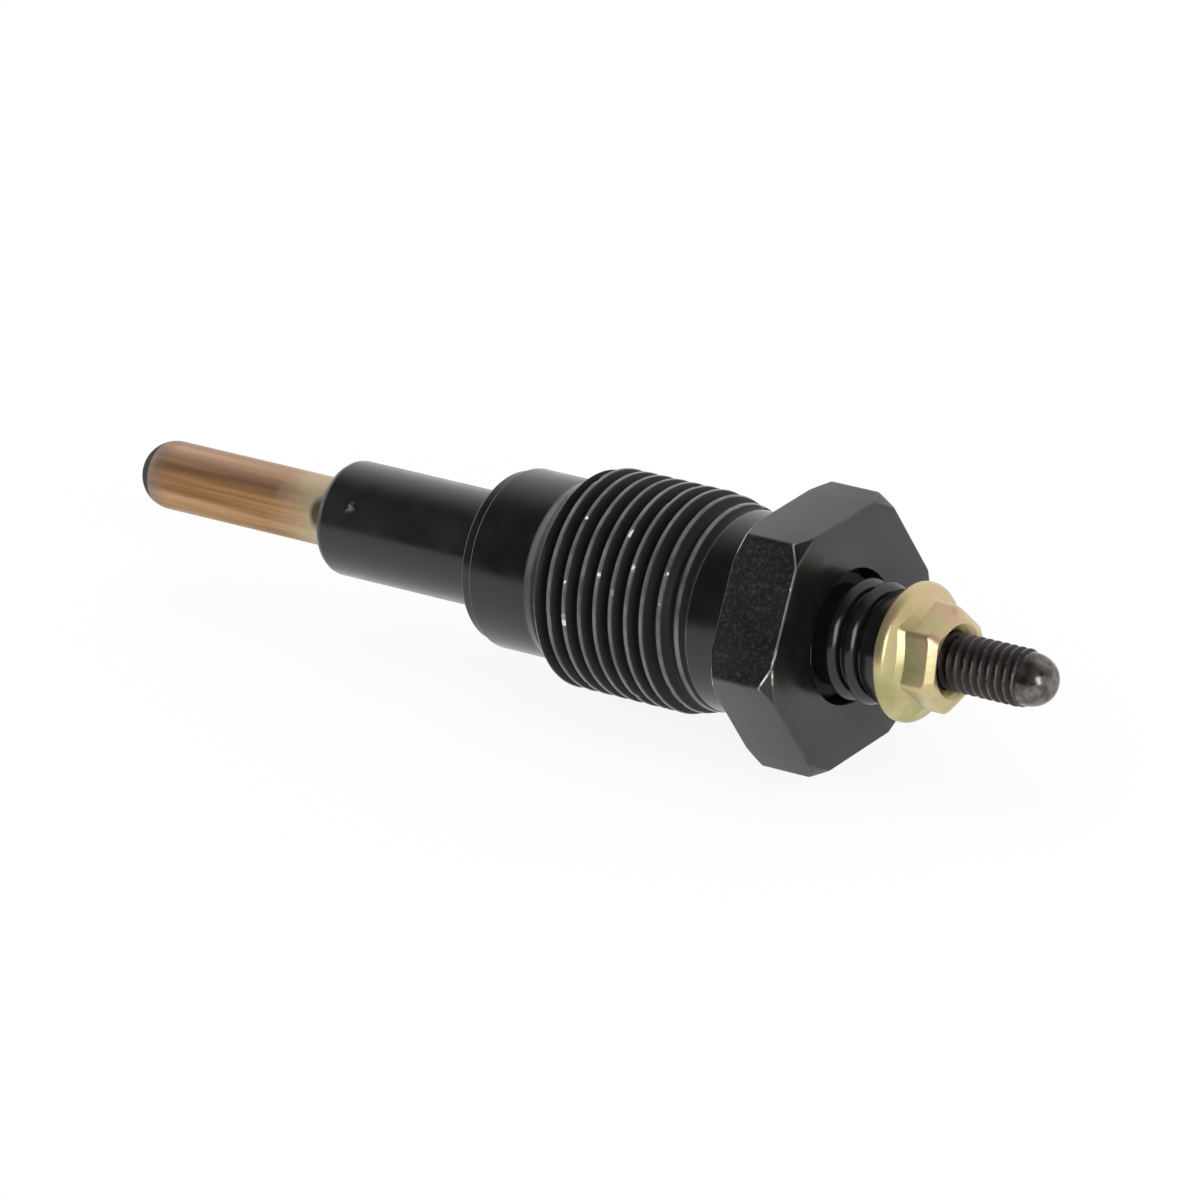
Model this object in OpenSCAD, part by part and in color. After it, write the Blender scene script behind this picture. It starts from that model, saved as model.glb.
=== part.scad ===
// Pencil-type diesel glow plug, lying on one flat of its hexagon.
// X runs along the plug from the heater tip to the terminal; the origin is on the
// plug's axis in the plane of the sealing seat, and +Z is up.

/* [Shell] */
// Diameter of the nose that carries the heater
nose_d = 10; // [9:0.1:12]
// Length of the nose in front of the sealing seat
nose_len = 17.9; // [12:0.1:30]
// Radius that rounds the front edge of the nose
nose_round = 1.0; // [0.3:0.1:1.4]
// Outer diameter of the flat sealing seat
seat_d = 14.7; // [13:0.1:15.2]
// Length of the low rim behind the sealing seat
seat_rim = 0.9; // [0.4:0.1:2]
// Length of the small bevel from the rim up to the pilot
bevel_len = 0.25; // [0.1:0.05:1]
// Diameter of the smooth pilot between seat and thread
pilot_d = 15.5; // [15.3:0.1:16.2]
// Length of the pilot behind the bevel
pilot_len = 6.15; // [4:0.05:12]
// Radius of the fillet between pilot and thread
pilot_fillet = 1.2; // [0.2:0.1:2]
// Diameter of the collar between thread and hexagon
collar_d = 17.1; // [17:0.1:18.1]
// Length of the collar
collar_len = 4.5; // [2:0.1:10]

/* [Engine thread] */
// Diameter over the crests of the engine thread
thread_d = 18.9; // [18.2:0.1:19.2]
// Distance from crest to crest of the engine thread
thread_pitch = 1.5875; // [1.5:0.0125:2]
// Number of crests on the engine thread
thread_turns = 9; // [5:1:12]
// Height of an engine thread ridge
thread_depth = 0.93; // [0.6:0.01:1]
// Width of the flat on top of an engine thread ridge
thread_crest = 0.3; // [0.1:0.02:0.32]
// Length of the cone that leads from the pilot up to the thread
lead_len = 2.1; // [1:0.05:4]
// Fall of the last crests towards the collar, as height over length
run_out = 0.25; // [0.1:0.01:0.6]

/* [Hexagon] */
// Width of the shell's hexagon across its flats
hex_af = 21; // [20:0.1:24]
// Length of the hexagon along the plug
hex_len = 6.3; // [5:0.1:12]
// Slope of the chamfer on the hexagon's corners towards the thread, in degrees
hex_slope = 35; // [20:1:50]
// Height of each corner that this chamfer cuts off
hex_cut = 1.1; // [0.3:0.05:1.5]
// Slope of the chamfer on the corners of the hexagon's end face, in degrees
face_slope = 45; // [25:1:50]
// Height of each corner that the end face's chamfer cuts off
face_cut = 0.9; // [0.3:0.05:1.5]

/* [Shell bores] */
// Length of the bore that grips the heater sheath, from the nose's front face
grip_len = 12; // [8:0.1:14]
// Diameter of the free bore behind the grip
core_d = 7.2; // [6.6:0.1:8]
// Diameter of the recess in the hexagon's end face
recess_d = 11.5; // [11:0.1:13]
// Depth of the recess in the hexagon's end face
recess_depth = 2.2; // [1.2:0.1:3.5]

/* [Heater] */
// Outer diameter of the heater sheath
sheath_d = 6; // [5.4:0.1:6.4]
// Wall of the heater sheath
sheath_wall = 0.6; // [0.4:0.05:0.8]
// Length of the sheath in front of the nose, up to the end of its round tip
sheath_out = 22; // [15:0.1:30]
// Length of the sheath inside the shell
sheath_in = 20; // [16:0.1:24]
// Diameter of the heating wire
wire_d = 0.4; // [0.3:0.02:0.5]
// Diameter of the heating coil at the middle of its wire
coil_d = 3.1; // [2.8:0.05:3.3]
// Distance from turn to turn of the heating coil
coil_pitch = 0.95; // [0.7:0.05:1.4]
// Number of turns of the heating coil
coil_turns = 15; // [8:1:18]
// Length of the rubber plug that closes the sheath
seal_len = 2; // [1:0.1:4]

/* [Centre rod and terminal] */
// Diameter of the rod inside the heater sheath
rod_tip_d = 2.5; // [2:0.1:2.6]
// Diameter of the rod inside the shell
rod_d = 4; // [3.6:0.1:4.2]
// Length of the rod's reduced end that stands behind the sheath
rod_step = 2; // [0.5:0.1:5]
// Diameter over the crests of the terminal thread
stud_d = 4.9; // [4.7:0.05:5]
// Distance from crest to crest of the terminal thread
stud_pitch = 0.8; // [0.75:0.05:1]
// Height of a terminal thread ridge
stud_depth = 0.4; // [0.25:0.01:0.45]
// Width of the flat on top of a terminal thread ridge
stud_crest = 0.16; // [0.06:0.02:0.2]
// Length of the stud in front of the nut, without its round end
stud_out = 7; // [5:0.1:15]
// Length of the stud's round end
stud_nose = 2.3; // [1.2:0.1:2.4]
// Diameter of the flat on the stud's point
stud_point = 1.2; // [0.6:0.1:3]

/* [Insulating bush] */
// Diameter over the ribs of the bush
rib_d = 10.3; // [9.6:0.1:10.8]
// Diameter between the ribs of the bush
groove_d = 8.5; // [8:0.1:9.2]
// Diameter of the collar that carries the nut
rest_d = 9.7; // [9.3:0.1:10.6]
// Width of a rib
rib_w = 0.8; // [0.65:0.05:1]
// Distance from rib to rib
rib_pitch = 1.7; // [1.3:0.05:2.2]
// Number of ribs
rib_count = 2; // [1:1:4]
// Distance from the hexagon's end face to the first rib
rib_start = 1; // [0.6:0.05:3]
// Distance from the last rib to the collar that carries the nut
rest_gap = 0.55; // [0.3:0.05:2]
// Length of the collar that carries the nut
rest_len = 1.95; // [1:0.05:4]
// Length of the bush's foot inside the recess
foot_len = 0.9; // [0.5:0.05:1.1]
// Length of the bush's spigot inside the shell
spigot_len = 3.4; // [2:0.1:6]
// Rounding of the ribs' edges
rib_round = 0.3; // [0.1:0.05:0.35]
// Small chamfer on the edge of the collar
bush_edge = 0.15; // [0.05:0.05:0.2]

/* [Flange nut] */
// Width of the nut across its flats
nut_af = 8; // [7:0.1:9]
// Height of the nut with its flange
nut_h = 4.6; // [4.2:0.1:7]
// Diameter of the nut's flange
flange_d = 11.8; // [10.5:0.1:13]
// Thickness of the flange at its rim
flange_rim = 0.9; // [0.5:0.1:1.3]
// Slope of the flange's upper face, in degrees
flange_slope = 24; // [15:1:35]
// Radius of the fillet between the flange and the nut's flats
nut_fillet = 0.45; // [0.1:0.05:0.6]
// Chamfer on the lower edge of the flange
flange_edge = 0.2; // [0.05:0.05:0.4]
// Distance by which the chamfer cuts into the nut's top flats
nut_relief = 0.7; // [0:0.05:0.8]
// Slope of the chamfer at the nut's top, in degrees
nut_slope = 40; // [20:1:45]
// Depth of the countersink at the top of the nut
nut_sink = 0.75; // [0.2:0.05:0.8]
// Turn of the nut about the plug's axis from the shell's flats, in degrees
nut_turn = 13; // [0:1:59]

/* [Fits] */
// Gap between a pressed or packed piece and its seat
press_gap = 0.01; // [0.005:0.005:0.03]
// Gap all round a piece that slides into its seat
slide_gap = 0.06; // [0.03:0.01:0.12]

/* [Hidden] */
$fn = 96;

// Small cut that makes one solid run cleanly through another
eps = 0.5;
// Half angle of a standard thread ridge
flank_deg = 30;
// Points along each rounded edge
arc_steps = 8;

// Places along the axis, counted from the sealing seat
nose_face = -nose_len;
tip_centre = nose_face - sheath_out + sheath_d / 2;
sheath_end = nose_face + sheath_in;
bevel_end = seat_rim + bevel_len;
pilot_end = bevel_end + pilot_len;
lead_end = pilot_end + lead_len;
flank_run = thread_depth * tan(flank_deg);
first_crest = lead_end + 2 * flank_run + thread_crest / 2;
thread_end = first_crest + (thread_turns - 1) * thread_pitch + flank_run + thread_crest;
hex_start = thread_end + collar_len;
hex_face = hex_start + hex_len;
recess_floor = hex_face - recess_depth;
rest_start = hex_face + rib_start + (rib_count - 1) * rib_pitch + rib_w + rest_gap;
foot_end = recess_floor + foot_len;
bush_face = rest_start + rest_len;
nut_face = bush_face + nut_h;
stud_shoulder = nut_face + stud_out;
spigot_end = recess_floor - spigot_len;

// Radii that several pieces share
sheath_r = sheath_d / 2;
fill_r = sheath_r - sheath_wall;
core_r = core_d / 2;
grip_end = nose_face + grip_len;
stud_r = stud_d / 2;
rod_hole_r = stud_r + slide_gap;

// Coil and powder, from the tip towards the rod
tip_wall = sheath_wall * 1.5;
coil_front = tip_centre - sheath_r + tip_wall + 4 * wire_d;
coil_back = coil_front + coil_turns * coil_pitch;
rod_tip = coil_back - 3 * coil_pitch;
fill_end = sheath_end - seal_len;
channel_gap = wire_d / 2 + slide_gap;
// The lead stops just short of the inside of the round tip
lead_r = norm([coil_d / 2 + wire_d / 2, wire_d]) + wire_d / 2;
lead_front = tip_centre - sqrt(fill_r * fill_r - lead_r * lead_r) + slide_gap;
// Sides of the heating wire, and its sections in each turn
wire_sides = 6;
coil_steps = 12;

// Points of an arc about centre c, from angle a0 to angle a1
function arc(c, r, a0, a1) =
    [for (i = [0 : arc_steps]) let (a = a0 + (a1 - a0) * i / arc_steps) c + r * [cos(a), sin(a)]];

// Outline of ridges that follow one another along a rod, as [radius, place] points.
// Near place end the crests are cut down to a cone that falls to radius low
function ridges(crest_r, depth, crest, pitch, first, turns, low, end, fall) =
    [for (i = [0 : turns - 1])
        let (mid = first + pitch * i,
             top = max(crest_r - depth, min(crest_r, low + fall * (end - mid))),
             half = crest / 2 + (crest_r - top) * tan(flank_deg),
             foot = crest / 2 + depth * tan(flank_deg))
        each [[crest_r - depth, mid - foot], [top, mid - half],
              [top, mid + half], [crest_r - depth, mid + foot]]];

// Turns an outline of [radius, place] points about the plug's axis
module turned(points) {
    rotate([0, 90, 0]) rotate_extrude() polygon(points);
}

// Round rod or bore of radius r from place a to place b
module rod(r, a, b) {
    translate([a, 0, 0]) rotate([0, 90, 0]) cylinder(r = r, h = b - a);
}

// Hexagonal bar with flats facing up and down, from place a to place b
module hex_bar(af, a, b) {
    translate([a, 0, 0]) rotate([0, 90, 0]) rotate(30) cylinder(d = af / cos(30), h = b - a, $fn = 6);
}

// Outer form of the shell without its hexagon, closed on the axis
module shell_turning() {
    nose_r = nose_d / 2;
    pilot_r = pilot_d / 2;
    collar_r = collar_d / 2;
    steep = atan2(thread_d / 2 - pilot_r, lead_len);
    fillet_run = pilot_fillet * tan(steep / 2);
    turned(concat(
        [[0, nose_face]],
        arc([nose_r - nose_round, nose_face + nose_round], nose_round, -90, 0),
        [[nose_r, 0], [seat_d / 2, 0], [seat_d / 2, seat_rim], [pilot_r, bevel_end]],
        arc([pilot_r + pilot_fillet, pilot_end - fillet_run], pilot_fillet, 180, 180 - steep),
        [[thread_d / 2, lead_end]],
        ridges(thread_d / 2, thread_depth, thread_crest, thread_pitch, first_crest, thread_turns,
               collar_r, thread_end, run_out),
        [[collar_r, thread_end], [collar_r, hex_start + eps], [0, hex_start + eps]]));
}

// Hexagon with its corners chamfered at both ends
module shell_hexagon() {
    corner_r = hex_af / 2 / cos(30);
    drop = hex_cut * tan(hex_slope);
    face_drop = face_cut * tan(face_slope);
    intersection() {
        hex_bar(hex_af, hex_start, hex_face);
        turned([[0, hex_start], [corner_r - hex_cut, hex_start], [corner_r, hex_start + drop],
                [corner_r, hex_face - face_drop], [corner_r - face_cut, hex_face], [0, hex_face]]);
    }
}

module shell() {
    color("#2b2c2e") difference() {
        union() {
            shell_turning();
            shell_hexagon();
        }
        rod(sheath_r + press_gap, nose_face - eps, grip_end + eps);
        rod(core_r, grip_end, recess_floor + eps);
        rod(recess_d / 2, recess_floor, hex_face + eps);
    }
}

module heater_sheath() {
    color("#9a7450") difference() {
        union() {
            rod(sheath_r, tip_centre, sheath_end);
            translate([tip_centre, 0, 0]) sphere(r = sheath_r);
        }
        rod(fill_r, tip_centre, sheath_end + eps);
        translate([tip_centre, 0, 0]) sphere(r = fill_r);
    }
}

// Packed powder: a filled tube with a ring-shaped channel for the coil, open towards the rod
module magnesia_fill() {
    packed_r = fill_r - press_gap;
    channel_in = coil_d / 2 - channel_gap;
    channel_out = coil_d / 2 + channel_gap;
    channel_front = coil_front - channel_gap;
    channel_back = coil_back + channel_gap;
    rod_r = rod_tip_d / 2 + press_gap;
    color("#e8e4da") difference() {
        union() {
            rod(packed_r, tip_centre, fill_end);
            translate([tip_centre, 0, 0]) sphere(r = packed_r);
        }
        difference() {
            rod(channel_out, channel_front, channel_back);
            rod(channel_in, channel_front - eps, rod_tip);
        }
        rod(rod_r, rod_tip, fill_end + eps);
        translate([0, wire_d, coil_d / 2]) rod(channel_gap, tip_centre - sheath_r, coil_front);
    }
}

// Section of the heating wire about point c, with one edge turned to the radius r and one to b
function wire_ring(c, r, b) =
    [for (k = [0 : wire_sides - 1]) let (a = 360 * k / wire_sides)
        c + wire_d / 2 * (r * cos(a) + b * sin(a))];

// Section of the heating coil at turn t
function coil_ring(t) =
    let (r = [0, -sin(360 * t), cos(360 * t)])
    wire_ring([coil_front + coil_pitch * t, 0, 0] + coil_d / 2 * r, r, [1, 0, 0]);

// Heating wire: a straight lead from the sheath's tip, one bend and the coil round the rod's end
module heating_coil() {
    up = [0, 0, 1];
    lead = [0, wire_d, coil_d / 2];
    bend = wire_d * (1 - cos(45));
    rings = concat(
        [wire_ring(lead + [lead_front, 0, 0], up, [0, 1, 0]),
         wire_ring(lead + [coil_front - wire_d, 0, 0], up, [0, 1, 0]),
         wire_ring(lead + [coil_front - bend, -bend, 0], up, [cos(45), cos(45), 0])],
        [for (i = [0 : coil_turns * coil_steps]) coil_ring(i / coil_steps)]);
    count = len(rings);
    walls = [for (i = [0 : count - 2], k = [0 : wire_sides - 1]) let (n = (k + 1) % wire_sides)
        [i * wire_sides + k, i * wire_sides + n, (i + 1) * wire_sides + n, (i + 1) * wire_sides + k]];
    front = [for (k = [wire_sides - 1 : -1 : 0]) k];
    back = [for (k = [0 : wire_sides - 1]) (count - 1) * wire_sides + k];
    points = [for (ring = rings) each ring];
    color("#8c8f94") polyhedron(points = points, faces = concat(walls, [front, back]));
}

module sheath_seal() {
    color("#a03c2c") difference() {
        rod(fill_r - press_gap, fill_end, sheath_end);
        rod(rod_tip_d / 2 + press_gap, fill_end - eps, sheath_end + eps);
    }
}

// Rod and terminal in one piece, threaded at its outer end and rounded at its point
module centre_rod() {
    thread_from = recess_floor;
    turns = floor((stud_shoulder - thread_from) / stud_pitch);
    first = stud_shoulder - turns * stud_pitch;
    step = sheath_end + rod_step;
    point_r = stud_point / 2;
    color("#4a4744") turned(concat(
        [[0, rod_tip], [rod_tip_d / 2, rod_tip], [rod_tip_d / 2, step], [rod_d / 2, step],
         [rod_d / 2, first]],
        ridges(stud_r, stud_depth, stud_crest, stud_pitch, first + stud_pitch / 2, turns,
               stud_r, stud_shoulder, 0),
        [[stud_r - stud_depth / 2, stud_shoulder]],
        [for (i = [1 : arc_steps]) let (a = 90 * i / arc_steps)
            [point_r + (stud_r - stud_depth / 2 - point_r) * cos(a), stud_shoulder + stud_nose * sin(a)]],
        [[0, stud_shoulder + stud_nose]]));
}

module rubber_ring() {
    middle_r = (core_r + rod_d / 2) / 2;
    cord = core_r - rod_d / 2 - 2 * press_gap;
    color("#1c1c1c") translate([spigot_end - cord / 2 - press_gap, 0, 0]) rotate([0, 90, 0])
        rotate_extrude() translate([middle_r, 0]) circle(d = cord, $fn = 48);
}

// Moulded bush: spigot in the shell, foot in the recess, ribs in the open and a collar for the nut
module insulating_bush() {
    foot_r = rib_d / 2;
    edge = bush_edge;
    rib_r = rib_d / 2 - rib_round;
    rib_points = [for (i = [0 : rib_count - 1]) let (a = hex_face + rib_start + i * rib_pitch)
        each concat([[groove_d / 2, a]],
                    arc([rib_r, a + rib_round], rib_round, -90, 0),
                    arc([rib_r, a + rib_w - rib_round], rib_round, 0, 90),
                    [[groove_d / 2, a + rib_w]])];
    color("#181819") difference() {
        turned(concat(
            [[0, spigot_end], [core_r - slide_gap, spigot_end], [core_r - slide_gap, recess_floor],
             [foot_r, recess_floor], [foot_r, foot_end], [groove_d / 2, foot_end]],
            rib_points,
            [[groove_d / 2, rest_start], [rest_d / 2 - edge, rest_start], [rest_d / 2, rest_start + edge],
             [rest_d / 2, bush_face], [0, bush_face]]));
        rod(rod_hole_r, spigot_end - eps, bush_face + eps);
    }
}

// Flange nut with a hexagon chamfered at its top and a thread that clears the stud's
module flange_nut() {
    corner_r = nut_af / 2 / cos(30);
    top_r = nut_af / 2 - nut_relief;
    drop = (corner_r - top_r) * tan(nut_slope);
    flange_r = flange_d / 2;
    rim_end = bush_face + flange_rim;
    // The fillet touches the flange's upper face and the nut's flats
    fillet_r = nut_af / 2 + nut_fillet;
    fillet_x = rim_end + (nut_fillet + (flange_r - fillet_r) * sin(flange_slope)) / cos(flange_slope);
    turns = ceil(nut_h / stud_pitch) + 2;
    first = stud_shoulder - stud_pitch * (floor((stud_shoulder - bush_face) / stud_pitch) + 1);
    last = first + turns * stud_pitch;
    root_r = stud_r - stud_depth + slide_gap;
    color("#cdbb8a") difference() {
        union() {
            rotate([nut_turn, 0, 0]) intersection() {
                hex_bar(nut_af, bush_face, nut_face);
                turned([[0, bush_face], [corner_r, bush_face], [corner_r, nut_face - drop],
                        [top_r, nut_face], [0, nut_face]]);
            }
            turned(concat(
                [[0, bush_face], [flange_r - flange_edge, bush_face],
                 [flange_r, bush_face + flange_edge], [flange_r, rim_end]],
                arc([fillet_r, fillet_x], nut_fillet, 270 - flange_slope, 180),
                [[0, fillet_x]]));
        }
        turned(concat([[0, first], [root_r, first]],
            ridges(stud_r + slide_gap, stud_depth, stud_crest, stud_pitch, first + stud_pitch / 2,
                   turns, stud_r + slide_gap, last, 0),
            [[root_r, last], [0, last]]));
        turned([[0, nut_face - nut_sink], [stud_r, nut_face - nut_sink],
                [stud_r + nut_sink + eps, nut_face + eps], [0, nut_face + eps]]);
    }
}

shell();
heater_sheath();
magnesia_fill();
heating_coil();
sheath_seal();
centre_rod();
rubber_ring();
insulating_bush();
flange_nut();
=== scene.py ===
# %% [markdown]
# # A diesel glow plug
# A glow plug screws into the cylinder head of a diesel engine and warms the
# combustion chamber before a cold start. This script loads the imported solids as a
# fixed frame and dresses them: true helical threads, softened edges and finishes
# that show how each metal was treated. Every length is written in millimetres and
# turned into metres once.

# %% Load the frame
import math

import bmesh
import bpy
from mathutils import Matrix, Vector


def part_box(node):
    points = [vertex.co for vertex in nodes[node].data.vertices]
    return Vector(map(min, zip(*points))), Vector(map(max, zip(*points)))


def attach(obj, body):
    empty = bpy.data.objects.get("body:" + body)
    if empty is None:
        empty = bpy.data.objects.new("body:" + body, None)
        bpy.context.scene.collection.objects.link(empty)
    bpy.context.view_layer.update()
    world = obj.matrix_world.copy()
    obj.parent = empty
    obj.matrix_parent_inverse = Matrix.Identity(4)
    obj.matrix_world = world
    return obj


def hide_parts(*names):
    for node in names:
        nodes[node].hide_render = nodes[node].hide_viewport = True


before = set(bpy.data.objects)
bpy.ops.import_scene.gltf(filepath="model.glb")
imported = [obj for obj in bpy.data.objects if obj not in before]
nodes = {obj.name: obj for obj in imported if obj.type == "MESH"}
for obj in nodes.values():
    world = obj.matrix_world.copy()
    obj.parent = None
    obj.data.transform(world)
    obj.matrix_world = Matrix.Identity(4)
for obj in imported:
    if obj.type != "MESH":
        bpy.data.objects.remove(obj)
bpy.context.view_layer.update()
scene = bpy.context.scene
MM = 0.001
print("loaded", sorted(nodes))

# %% [markdown]
# ## Places along the plug
# The X axis runs from the heater tip to the terminal, and X = 0 is the sealing seat.
# The solids already have these places, so they are read from the frame's boxes
# where a box shows them, and only the rest is written down.

# %% Read the places that the solids fix
nose_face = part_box("shell")[0].x / MM
hex_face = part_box("shell")[1].x / MM
hex_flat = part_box("shell")[1].z / MM
sheath_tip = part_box("heater_sheath")[0].x / MM
sheath_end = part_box("heater_sheath")[1].x / MM
sheath_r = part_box("heater_sheath")[1].z / MM
spigot_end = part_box("insulating_bush")[0].x / MM
bush_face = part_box("insulating_bush")[1].x / MM
nut_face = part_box("flange_nut")[1].x / MM
flange_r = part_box("flange_nut")[1].z / MM
rod_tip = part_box("centre_rod")[0].x / MM
stud_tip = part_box("centre_rod")[1].x / MM
stud_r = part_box("centre_rod")[1].z / MM
print(f"plug from {sheath_tip:.2f} to {stud_tip:.2f} mm, hexagon {2 * hex_flat:.2f} mm across flats")

# %% [markdown]
# ## One way to make every round piece
# All pieces of the plug were turned on a lathe or moulded round an axis, and some
# then got a hexagon. The Spin tool would sweep one outline, but a hexagon needs an
# outline that changes with the angle. So a piece is made of columns: at each angle a
# chain of points gives place and radius, and neighbouring columns are joined by
# faces. The columns crowd together at the hexagon's corners, where the form bends.

# %% Columns round the axis
COLUMNS = 240
CROWDING = 0.6


def column_angle(share):
    """Angle of a column from its share of a full turn, crowded at every sixth of a turn."""
    turn = 2 * math.pi * share
    return turn - CROWDING / 6 * math.sin(6 * turn)


def hexagon_radius(angle, flat_r, corner_round):
    """Distance from the axis to a hexagon with rounded corners at 0, 60, 120 ... degrees."""
    bend = (angle + math.pi / 6) % (math.pi / 3) - math.pi / 6
    centre = (flat_r - corner_round) / math.cos(math.pi / 6)
    side = centre * math.sin(abs(bend))
    on_arc = side < corner_round / 2
    if on_arc:
        return centre * math.cos(bend) + math.sqrt(corner_round ** 2 - side ** 2)
    return flat_r / math.cos(math.pi / 6 - abs(bend))


print(f"smallest column step {math.degrees(column_angle(1 / COLUMNS)):.2f} degrees")

# %% [markdown]
# ## Rounded corners
# No real edge is perfectly sharp, and it is the small radius on an edge that catches
# the light. A Bevel modifier could round the edges afterwards, but here each corner
# of a chain carries its own radius, so that a seat's rim and a hexagon's edge can
# differ. A corner also says how its finish is worn: 0 is whole, 1 is a rubbed edge,
# more is nearly bare, and below 0 there is grime, whose dark finish also paints the
# shade in grooves and recesses.

# %% Round the corners of a chain
ARC_STEPS = 4
# The most of a side that one corner's arc may use up
MOST_CUT = 0.48


def rounded(corners):
    """Points (place, radius, wear) of a chain of corners (place, radius, round, wear)."""
    points = []
    for i, (x, r, size, wear) in enumerate(corners):
        if size == 0 or i in (0, len(corners) - 1):
            points.append((x, r, wear))
            continue
        before = (corners[i - 1][0] - x, corners[i - 1][1] - r)
        after = (corners[i + 1][0] - x, corners[i + 1][1] - r)
        len_a, len_b = math.hypot(*before), math.hypot(*after)
        a = (before[0] / len_a, before[1] / len_a)
        b = (after[0] / len_b, after[1] / len_b)
        half = math.acos(max(-1, min(1, a[0] * b[0] + a[1] * b[1]))) / 2
        cut = min(size / math.tan(half), MOST_CUT * len_a, MOST_CUT * len_b)
        for k in range(ARC_STEPS + 1):
            s = k / ARC_STEPS
            wa, wm, wb = (1 - s) ** 2, 2 * s * (1 - s) * math.sin(half), s ** 2
            total = wa + wm + wb
            px = x + cut * (wa * a[0] + wb * b[0]) / total
            pr = r + cut * (wa * a[1] + wb * b[1]) / total
            points.append((px, pr, wear * math.sin(math.pi * s) if 0 < k < ARC_STEPS else 0))
    return points


print("a rounded corner has", ARC_STEPS + 1, "points")

# %% [markdown]
# ## From columns to a mesh
# Where a chain ends on the axis all its columns meet in one point, and where a chain
# closes on itself the last row joins the first. Merging doubles takes care of both.
# The wear of each point goes along as an attribute that the finishes read later. The
# print counts the edges that don't join two faces: there are some on the rings where
# a thread ends.

# %% Build a mesh from columns
MERGE = 2e-6
# Faces with less wear take the grime finish, which also paints shade in grooves and recesses
GROOVE_LIMIT = -0.1
SHARP = math.radians(40)


def columns_to_lists(chain_at, count, turn=0.0, closed=False):
    """Points, faces and wear of a piece whose chain_at(angle) gives (place, radius, wear)."""
    points, faces, wear = [], [], []
    for j in range(count):
        angle = turn + column_angle(j / count)
        chain = chain_at(angle)
        rows = len(chain)
        for x, r, w in chain:
            points.append((x * MM, r * MM * math.cos(angle), r * MM * math.sin(angle)))
            wear.append(w)
    for j in range(count):
        here, there = j * rows, (j + 1) % count * rows
        for i in range(rows if closed else rows - 1):
            n = (i + 1) % rows
            faces.append((here + i, there + i, there + n, here + n))
    return points, faces, wear


def joined(*lists):
    """Several (points, faces, wear) lists as one."""
    points, faces, wear = [], [], []
    for p, f, w in lists:
        start = len(points)
        points += p
        wear += w
        faces += [tuple(start + k for k in face) for face in f]
    return points, faces, wear


def finished_piece(name, lists, finish, soot_and_shade=None):
    """A smooth object at the origin; its faces with wear below GROOVE_LIMIT take the grime finish,
    which also paints shade.
    """
    points, faces, wear = lists
    mesh = bpy.data.meshes.new(name)
    mesh.from_pydata(points, [], faces)
    mesh.attributes.new("wear", "FLOAT", "POINT").data.foreach_set("value", wear)
    form = bmesh.new()
    form.from_mesh(mesh)
    bmesh.ops.remove_doubles(form, verts=form.verts, dist=MERGE)
    bmesh.ops.dissolve_degenerate(form, edges=form.edges, dist=MERGE / 10)
    bmesh.ops.recalc_face_normals(form, faces=form.faces)
    gaps = sum(1 for edge in form.edges if len(edge.link_faces) != 2)
    form.to_mesh(mesh)
    volume = form.calc_volume(signed=True) / MM ** 3
    form.free()
    mesh.shade_smooth()
    mesh.set_sharp_from_angle(angle=SHARP)
    mesh.materials.append(finish)
    if soot_and_shade:
        mesh.materials.append(soot_and_shade)
        marks = [mark.value for mark in mesh.attributes["wear"].data]
        for face in mesh.polygons:
            mean = sum(marks[k] for k in face.vertices) / len(face.vertices)
            face.material_index = int(mean < GROOVE_LIMIT)
    piece = bpy.data.objects.new(name, mesh)
    scene.collection.objects.link(piece)
    print(f"{name}: {len(mesh.polygons)} faces, {gaps} open edges, {volume:.1f} mm3")
    return piece


# %% [markdown]
# ## Colours and nodes
# Colours are written as they look on a screen, in hex, and one function turns them
# into the linear values that Blender mixes. Another adds a node with its settings
# and links, for the finishes and for the thread alike. A link comes from a socket, or
# from a node, which then stands for its first output in use.

# %% Colour and node helpers
# Kinds of node that come up often
MATH, VECTOR, MIX = "ShaderNodeMath", "ShaderNodeVectorMath", "ShaderNodeMix"
RANGE, NOISE = "ShaderNodeMapRange", "ShaderNodeTexNoise"


def linear(code):
    """Linear RGBA of an sRGB hex colour."""
    parts = [int(code[k:k + 2], 16) / 255 for k in (1, 3, 5)]
    return [c / 12.92 if c <= 0.04045 else ((c + 0.055) / 1.055) ** 2.4 for c in parts] + [1.0]


def feed(node, inputs):
    """Gives each input a value, or a link from a socket or from a node's first output in use."""
    for key, value in inputs.items():
        if isinstance(value, bpy.types.Node):
            value = next(socket for socket in value.outputs if socket.enabled)
        if isinstance(value, bpy.types.NodeSocket):
            node.id_data.links.new(value, node.inputs[key])
        else:
            node.inputs[key].default_value = value


def put(tree, kind, inputs=None, **settings):
    """A new node with its settings and its inputs."""
    made = tree.nodes.new(kind)
    for key, value in settings.items():
        setattr(made, key, value)
    feed(made, inputs or {})
    return made


def ramp_colours(ramp, stops):
    """Gives a Color Ramp node its stops, each a place and a hex colour."""
    elements = ramp.color_ramp.elements
    while len(elements) < len(stops):
        elements.new(0.5)
    for element, (place, code) in zip(elements, stops):
        element.position = place
        element.color = linear(code)


def new_finish(name):
    """A material with its tree, its shader and a point in millimetres on the piece."""
    material = bpy.data.materials.new(name)
    material.use_nodes = True
    tree = material.node_tree
    shader = tree.nodes["Principled BSDF"]
    spot = put(tree, "ShaderNodeTexCoord").outputs["Object"]
    per_mm = put(tree, VECTOR, {0: spot, "Scale": 1 / MM}, operation="SCALE")
    return material, tree, shader, per_mm


print("mid grey is", [round(v, 3) for v in linear("#808080")])

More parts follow.
